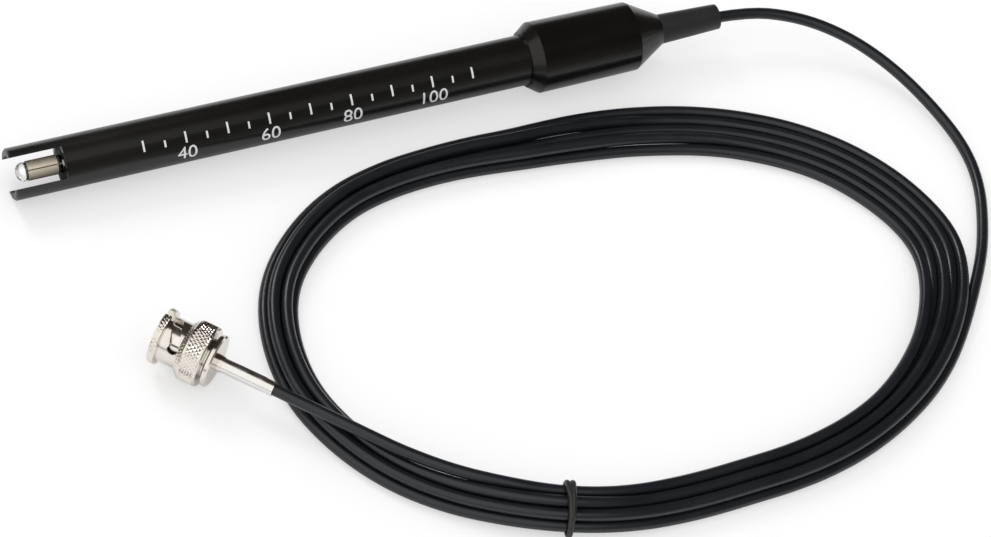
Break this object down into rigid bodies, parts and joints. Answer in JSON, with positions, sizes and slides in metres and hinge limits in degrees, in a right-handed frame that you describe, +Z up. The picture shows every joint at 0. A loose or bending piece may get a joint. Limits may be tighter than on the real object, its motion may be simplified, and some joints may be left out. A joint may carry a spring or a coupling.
{
  "type": "redox electrode",
  "caption": "Combination redox electrode: slotted black shaft round a glass stem with a platinum band, head cap, thin coiled lead and bayonet coax plug.",
  "frame": {"origin": "on the surface that the electrode lies on, under the middle of the electrode without its cord", "axes": "+X from the sensor tip to the boot, +Z up, the coiled lead on the -Y side"},
  "size_m": [0.2246, 0.1321, 0.0172],
  "materials": {
    "shaft_plastic": "glossy black moulded plastic",
    "head_plastic": "glossy black moulded plastic",
    "boot_rubber": "satin black flexible boot",
    "cable_jacket": "soft black cable jacket, slight gloss",
    "tie_rubber": "black band",
    "stem_glass": "clear polished glass",
    "platinum": "rolled platinum sheet, fine rolling lines",
    "seal_epoxy": "dark cast epoxy",
    "junction_ceramic": "porous ceramic",
    "gel": "clear electrolyte gel",
    "silver": "silver wire with a grey chloride coat",
    "potting": "cast resin",
    "splice_copper": "tinned copper crimp sleeve",
    "core_insulation": "natural polyethylene",
    "shield_copper": "tinned copper strands",
    "nickel": "bright nickel plate on brass",
    "contact_silver": "silver plate on beryllium copper",
    "pin_gold": "gold plate on brass",
    "insulator_white": "white moulded insulator",
    "gasket_rubber": "dark red silicone rubber",
    "spring_steel": "sprung bronze sheet"
  },
  "bodies": {
    "root": {"shaft_body": "shaft_plastic", "sensor_stem": "stem_glass", "platinum_band": "platinum", "signal_wire": "platinum", "reference_junction": "junction_ceramic", "stem_seal": "seal_epoxy", "reference_wire": "silver", "reference_gel": "gel", "rear_plug": "seal_epoxy", "head_cap": "head_plastic", "strain_relief": "boot_rubber", "shield_wire": "shield_copper", "core_in_head": "core_insulation", "signal_splice": "splice_copper", "head_potting": "potting", "plug_body": "nickel", "outer_contact": "contact_silver", "gasket": "gasket_rubber", "insulator": "insulator_white", "centre_contact": "pin_gold", "core_in_plug": "core_insulation", "spring_washer": "spring_steel", "retaining_disc": "nickel", "crimp_ferrule": "nickel", "cable_braid": "shield_copper", "cable_lead": "cable_jacket", "cable_coil": "cable_jacket", "coil_tie": "tie_rubber", "cable_tail": "cable_jacket"},
    "washer": {"thrust_washer": "spring_steel"},
    "nut": {"coupling_nut": "nickel"}
  },
  "joints": [
    {"name": "nut_draw", "type": "slide", "parent": "root", "child": "washer", "axis": [-0.6947, 0.7193, 0], "range_m": [0, 0.0006], "stiffness_N_per_m": 1500, "springref_m": -0.0002, "deforming": ["spring_washer"]},
    {"name": "nut_turn", "type": "hinge", "parent": "washer", "child": "nut", "pos_m": [-0.06895, -0.05006, 0.00705], "axis": [-0.6947, 0.7193, 0], "continuous": true}
  ]
}
